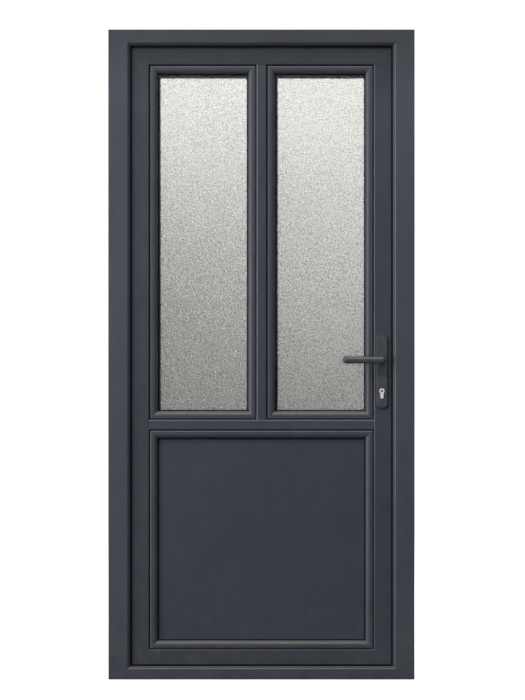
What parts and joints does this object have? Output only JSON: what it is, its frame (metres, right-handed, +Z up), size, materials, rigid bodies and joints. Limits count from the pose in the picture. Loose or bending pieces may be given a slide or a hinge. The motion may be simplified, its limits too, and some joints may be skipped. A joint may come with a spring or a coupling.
{
  "type": "upvc door",
  "caption": "Half-glazed anthracite uPVC entrance door set: rebated frame, inward-opening leaf with obscure glass lights over a solid panel, lever handles, edge lock and butt hinges",
  "frame": {"origin": "middle of the sill's underside, at mid width and mid depth of the outer frame", "axes": "+X to the right seen from outside, +Y inwards through the doorway, +Z up"},
  "size_m": [0.98, 0.176, 2.08],
  "materials": {
    "frame_pvc": "satin anthracite grey foil on uPVC",
    "leaf_pvc": "satin anthracite grey foil on uPVC",
    "bead_pvc": "satin anthracite grey foil on uPVC",
    "panel_pvc": "satin anthracite grey flat panel",
    "seal_rubber": "black weather seal",
    "gasket_rubber": "black glazing gasket",
    "obscure_glass": "pebbled obscure glass",
    "clear_glass": "clear float glass",
    "spacer_metal": "satin spacer bar",
    "furniture_metal": "satin dark grey coated furniture",
    "cylinder_metal": "satin nickel",
    "lock_steel": "zinc-plated steel",
    "hinge_metal": "satin dark grey coated hinge"
  },
  "bodies": {
    "frame": {"frame_hinge_jamb": "frame_pvc", "frame_lock_jamb": "frame_pvc", "frame_head": "frame_pvc", "frame_sill": "frame_pvc", "frame_seal": "seal_rubber", "upper_keep": "lock_steel", "centre_keep": "lock_steel", "lower_keep": "lock_steel", "hinge_bottom_frame_leaf": "hinge_metal", "hinge_middle_frame_leaf": "hinge_metal", "hinge_top_frame_leaf": "hinge_metal", "hinge_pins": "lock_steel"},
    "leaf": {"leaf_hinge_stile": "leaf_pvc", "leaf_lock_stile": "leaf_pvc", "leaf_top_rail": "leaf_pvc", "leaf_bottom_rail": "leaf_pvc", "leaf_mid_rail": "leaf_pvc", "leaf_mullion": "leaf_pvc", "leaf_seal": "seal_rubber", "left_light_side_beads": "bead_pvc", "left_light_end_beads": "bead_pvc", "right_light_side_beads": "bead_pvc", "right_light_end_beads": "bead_pvc", "panel_side_beads": "bead_pvc", "panel_end_beads": "bead_pvc", "lower_panel": "panel_pvc", "left_light_outer_pane": "obscure_glass", "right_light_outer_pane": "obscure_glass", "left_light_inner_pane": "clear_glass", "right_light_inner_pane": "clear_glass", "outer_glazing_gaskets": "gasket_rubber", "inner_glazing_gaskets": "gasket_rubber", "glass_spacers": "spacer_metal", "lock_faceplate": "lock_steel", "latch_bolt": "lock_steel", "dead_bolt": "lock_steel", "hook_bolts": "lock_steel", "outer_backplate": "furniture_metal", "inner_backplate": "furniture_metal", "lock_cylinder": "cylinder_metal", "cylinder_plugs": "cylinder_metal", "hinge_bottom_sash_leaf": "hinge_metal", "hinge_middle_sash_leaf": "hinge_metal", "hinge_top_sash_leaf": "hinge_metal"},
    "lever": {"outer_lever": "furniture_metal", "inner_lever": "furniture_metal", "lever_spindle": "lock_steel"}
  },
  "joints": [
    {"name": "leaf_swing", "type": "hinge", "parent": "frame", "child": "leaf", "pos_m": [-0.464, 0.061, 1.032], "axis": [0, 0, 1], "range_deg": [0, 110]},
    {"name": "lever_turn", "type": "hinge", "parent": "leaf", "child": "lever", "pos_m": [0.386, 0.021, 1.023], "axis": [0, -1, 0], "range_deg": [-45, 45], "stiffness_Nm_per_rad": 5, "springref_deg": -2.58}
  ]
}
